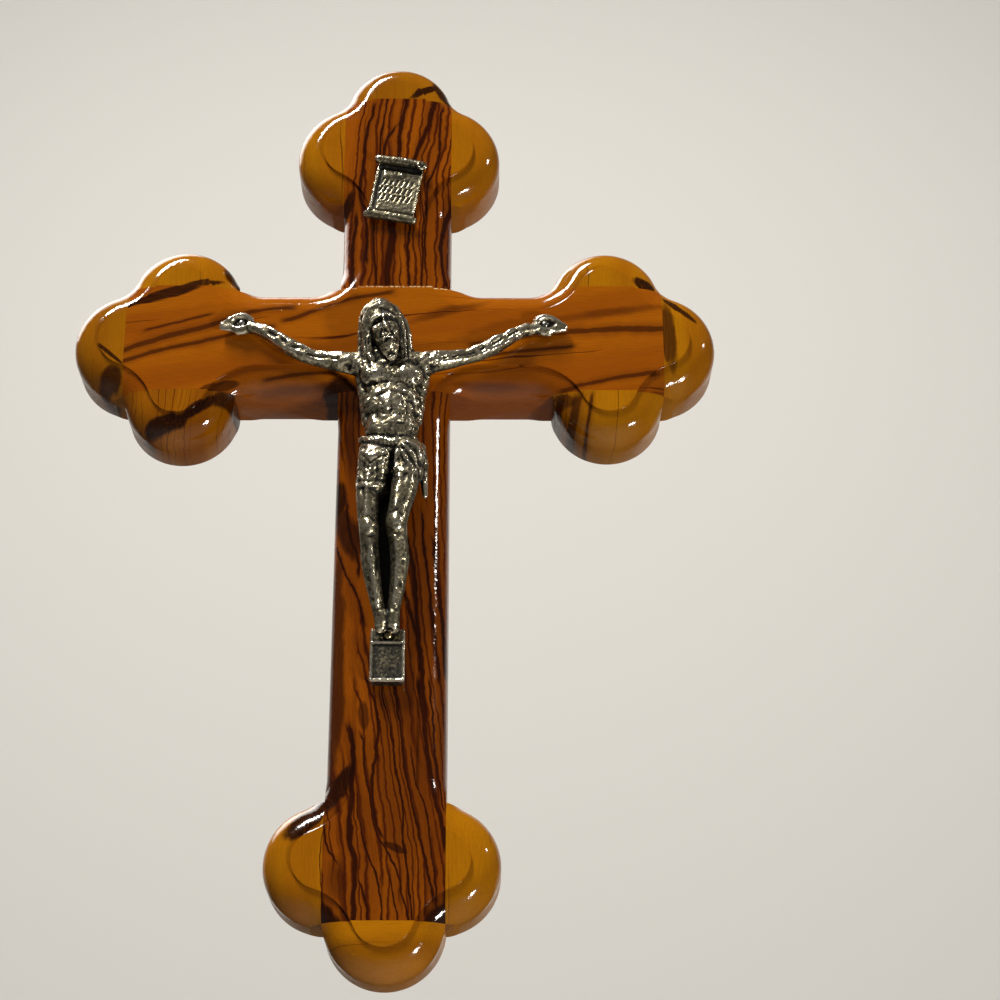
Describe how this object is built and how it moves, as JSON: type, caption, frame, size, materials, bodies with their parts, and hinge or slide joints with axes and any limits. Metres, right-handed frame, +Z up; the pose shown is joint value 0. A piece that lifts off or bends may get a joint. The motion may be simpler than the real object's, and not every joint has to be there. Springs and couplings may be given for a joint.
{
  "type": "olive wood crucifix",
  "caption": "Wall crucifix with trefoil ends and a moulded front edge, carrying a cast metal figure on a footrest and a scroll plate.",
  "frame": {"origin": "on the flat back, at the centre of the crossing, where the cross lies against the wall", "axes": "+Z up along the upright; +X to the viewer's right along the cross beam; the front faces -Y and the wall is at +Y"},
  "size_m": [0.1014, 0.0198, 0.1526],
  "materials": {
    "upright_wood": "gloss varnish over olive wood with dark lengthwise streaks",
    "arm_wood": "gloss varnish over orange olive wood with a few thin dark streaks",
    "lobe_wood": "gloss varnish over yellow sapwood with patches of dark heartwood",
    "cast_metal": "silver-toned casting with black oxide in the recesses and worn bright on the raised parts",
    "nail_metal": "bright, slightly golden"
  },
  "bodies": {
    "root": {"upright_beam": "upright_wood", "cross_beam": "arm_wood", "head_top_lobe": "lobe_wood", "head_left_lobe": "lobe_wood", "head_right_lobe": "lobe_wood", "left_arm_end_lobe": "lobe_wood", "left_arm_upper_lobe": "lobe_wood", "left_arm_lower_lobe": "lobe_wood", "right_arm_end_lobe": "lobe_wood", "right_arm_upper_lobe": "lobe_wood", "right_arm_lower_lobe": "lobe_wood", "foot_bottom_lobe": "lobe_wood", "foot_left_lobe": "lobe_wood", "foot_right_lobe": "lobe_wood", "corpus": "cast_metal", "scroll_plate": "cast_metal", "nail_left_hand": "nail_metal", "nail_right_hand": "nail_metal", "nail_feet": "nail_metal"}
  },
  "joints": []
}
